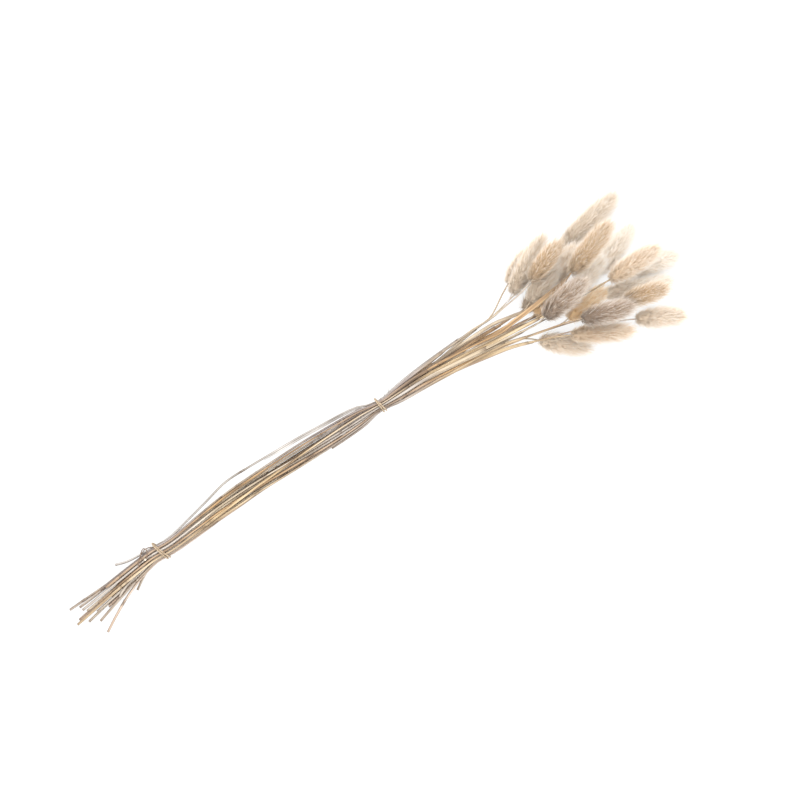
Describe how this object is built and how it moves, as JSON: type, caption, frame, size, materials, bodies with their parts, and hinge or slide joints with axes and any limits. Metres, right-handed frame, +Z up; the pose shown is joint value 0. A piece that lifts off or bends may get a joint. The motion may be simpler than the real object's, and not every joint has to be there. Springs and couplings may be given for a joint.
{
  "type": "dried bunny tail grass bunch",
  "caption": "Tied bunch of dried bunny tail grass: long straw stems with soft oval flower heads, lying on its side.",
  "frame": {"origin": "on the surface that the bunch lies on, under the middle of its outline", "axes": "+X along the bunch from the cut ends to the flower heads, +Z up"},
  "size_m": [0.655, 0.1356, 0.0637],
  "materials": {
    "stalk": "dry straw",
    "bloom": "soft, silky hairs",
    "band": "dry raffia",
    "string": "twisted thread"
  },
  "bodies": {
    "root": {"head_01": "bloom", "head_02": "bloom", "head_03": "bloom", "head_04": "bloom", "head_05": "bloom", "head_06": "bloom", "head_07": "bloom", "head_08": "bloom", "head_09": "bloom", "head_10": "bloom", "head_11": "bloom", "head_12": "bloom", "head_13": "bloom", "head_14": "bloom", "head_15": "bloom", "head_16": "bloom", "head_17": "bloom", "head_18": "bloom", "head_19": "bloom", "head_20": "bloom", "head_21": "bloom", "stem_01": "stalk", "stem_02": "stalk", "stem_03": "stalk", "stem_04": "stalk", "stem_05": "stalk", "stem_06": "stalk", "stem_07": "stalk", "stem_08": "stalk", "stem_09": "stalk", "stem_10": "stalk", "stem_11": "stalk", "stem_12": "stalk", "stem_13": "stalk", "stem_14": "stalk", "stem_15": "stalk", "stem_16": "stalk", "stem_17": "stalk", "stem_18": "stalk", "stem_19": "stalk", "stem_20": "stalk", "stem_21": "stalk", "straw_broken": "stalk", "straw_flat": "stalk", "straw_pale": "stalk", "straw_sheath": "stalk", "string_loop": "string", "tie_lower": "band", "tie_middle": "band"}
  },
  "joints": []
}
